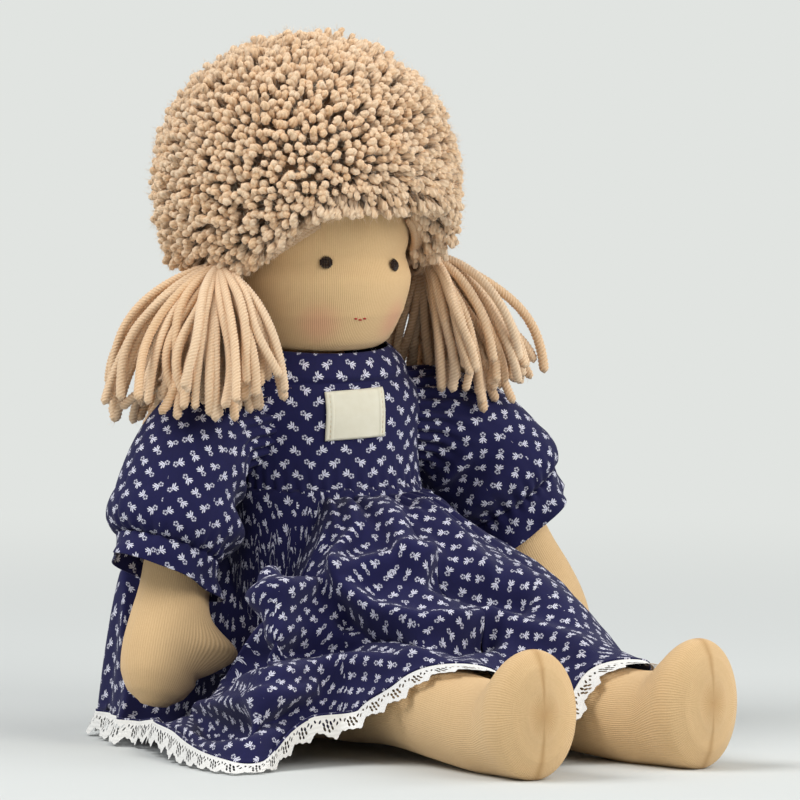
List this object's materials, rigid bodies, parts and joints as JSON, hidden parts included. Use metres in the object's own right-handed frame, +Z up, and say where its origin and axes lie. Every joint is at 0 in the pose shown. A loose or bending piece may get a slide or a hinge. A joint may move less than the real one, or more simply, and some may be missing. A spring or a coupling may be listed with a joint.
{
  "type": "waldorf doll",
  "caption": "Seated soft doll with a round jersey head, a thick pompom of yarn hair with side bunches, a puff-sleeved print dress with a lace hem, and stuffed arms and legs.",
  "frame": {"origin": "middle of the flat seat, on the plane that the doll sits on", "axes": "+Z up, -Y the way the doll faces, +X towards its left side"},
  "size_m": [0.2492, 0.2921, 0.2805],
  "materials": {
    "jersey": "fine knitted cotton jersey, skin colour",
    "wool": "stuffing wool, wound or packed",
    "thread": "strong tying thread",
    "eye": "dark brown embroidery yarn",
    "mouth": "red embroidery yarn",
    "hair": "plied wool yarn, light brown",
    "tie": "yarn wound round the bunch",
    "print": "navy cotton with small white sprigs",
    "lace": "white cotton lace with eyelets and scallops",
    "patch": "cream cotton tape, bare",
    "button": "navy gloss plastic"
  },
  "bodies": {
    "body": {"body_skin": "jersey", "body_stuffing": "wool", "bodice": "print", "skirt": "print", "skirt_lace": "lace", "chest_patch": "patch", "back_placket": "print", "back_button_upper": "button", "back_button_lower": "button"},
    "neck": {"neck_roll": "jersey", "neck_thread": "thread"},
    "head": {"head_skin": "jersey", "inner_head": "wool", "eye_line_thread": "thread", "eye_right": "eye", "eye_left": "eye", "mouth": "mouth", "hair_cap": "hair", "hair_pile": "hair", "hair_gather_right": "hair", "hair_gather_left": "hair", "hair_tie_right": "tie", "hair_tie_left": "tie", "hair_bunch_right": "hair", "hair_bunch_left": "hair"},
    "shoulder_right": {"arm_gather_right": "jersey", "sleeve_right": "print"},
    "arm_right": {"arm_skin_right": "jersey", "arm_stuffing_right": "wool", "cuff_right": "print"},
    "leg_right": {"leg_skin_right": "jersey", "leg_stuffing_right": "wool"},
    "shoulder_left": {"arm_gather_left": "jersey", "sleeve_left": "print"},
    "arm_left": {"arm_skin_left": "jersey", "arm_stuffing_left": "wool", "cuff_left": "print"},
    "leg_left": {"leg_skin_left": "jersey", "leg_stuffing_left": "wool"}
  },
  "joints": [
    {"name": "head_turn", "type": "hinge", "parent": "body", "child": "neck", "pos_m": [0, 0.005, 0.147], "axis": [0, 0, 1], "range_deg": [-60, 60], "stiffness_Nm_per_rad": 0.06, "deforming": ["hair_bunch_right", "hair_bunch_left"]},
    {"name": "head_nod", "type": "hinge", "parent": "neck", "child": "head", "pos_m": [0, 0.005, 0.15], "axis": [1, 0, 0], "range_deg": [-12, 12], "stiffness_Nm_per_rad": 1, "deforming": ["hair_bunch_right", "hair_bunch_left"]},
    {"name": "arm_swing_right", "type": "hinge", "parent": "body", "child": "shoulder_right", "pos_m": [-0.0575, 0, 0.126], "axis": [-1, 0, 0], "range_deg": [-45, 100], "deforming": ["sleeve_right", "cuff_right", "skirt", "skirt_lace"]},
    {"name": "arm_lift_right", "type": "hinge", "parent": "shoulder_right", "child": "arm_right", "pos_m": [-0.0575, 0, 0.126], "axis": [0, 0.9945, -0.1045], "range_deg": [0, 70], "deforming": ["sleeve_right", "cuff_right", "skirt", "skirt_lace"]},
    {"name": "arm_swing_left", "type": "hinge", "parent": "body", "child": "shoulder_left", "pos_m": [0.0575, 0, 0.126], "axis": [-1, 0, 0], "range_deg": [-50, 90], "deforming": ["sleeve_left", "cuff_left", "skirt", "skirt_lace"]},
    {"name": "arm_lift_left", "type": "hinge", "parent": "shoulder_left", "child": "arm_left", "pos_m": [0.0575, 0, 0.126], "axis": [0, -0.9703, 0.2419], "range_deg": [-18, 50], "deforming": ["sleeve_left", "cuff_left", "skirt", "skirt_lace"]},
    {"name": "hip_right", "type": "hinge", "parent": "body", "child": "leg_right", "pos_m": [-0.022, -0.032, 0.022], "axis": [1, 0, 0], "range_deg": [-20, 90], "deforming": ["skirt", "skirt_lace"]},
    {"name": "hip_left", "type": "hinge", "parent": "body", "child": "leg_left", "pos_m": [0.022, -0.032, 0.022], "axis": [1, 0, 0], "range_deg": [-20, 90], "deforming": ["skirt", "skirt_lace"]}
  ]
}
